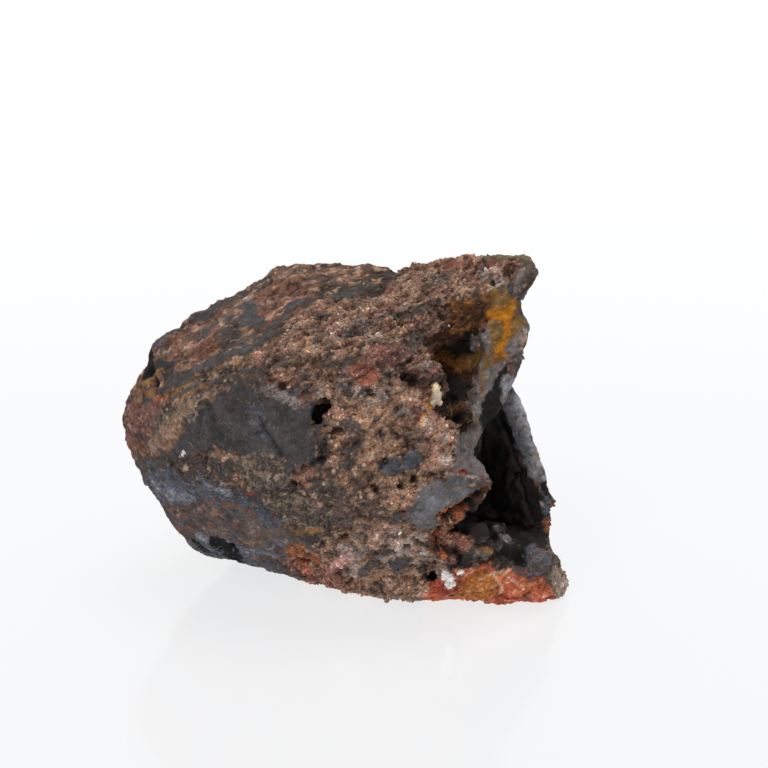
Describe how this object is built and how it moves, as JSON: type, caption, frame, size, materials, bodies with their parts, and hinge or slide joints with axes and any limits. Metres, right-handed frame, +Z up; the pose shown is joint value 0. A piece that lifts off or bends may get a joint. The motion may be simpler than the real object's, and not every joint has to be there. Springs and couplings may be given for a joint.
{
  "type": "goethite geode",
  "caption": "Broken goethite geode: a rough lump of iron ore with a deep hollow in one side, lined with a black knobbly crust.",
  "frame": {"origin": "middle of the foot of the bounding box, on the surface the lump rests on", "axes": "+X along the longest side, towards the hollow; +Y away from the side the picture shows; +Z up"},
  "size_m": [0.0712, 0.0506, 0.0523],
  "materials": {
    "iron_ore": "rough broken iron ore, reddish brown and dark slate, with ochre and rust",
    "goethite": "near-black knobbly goethite with a dull sheen"
  },
  "bodies": {
    "root": {"matrix": "iron_ore", "goethite_crust": "goethite"}
  },
  "joints": []
}
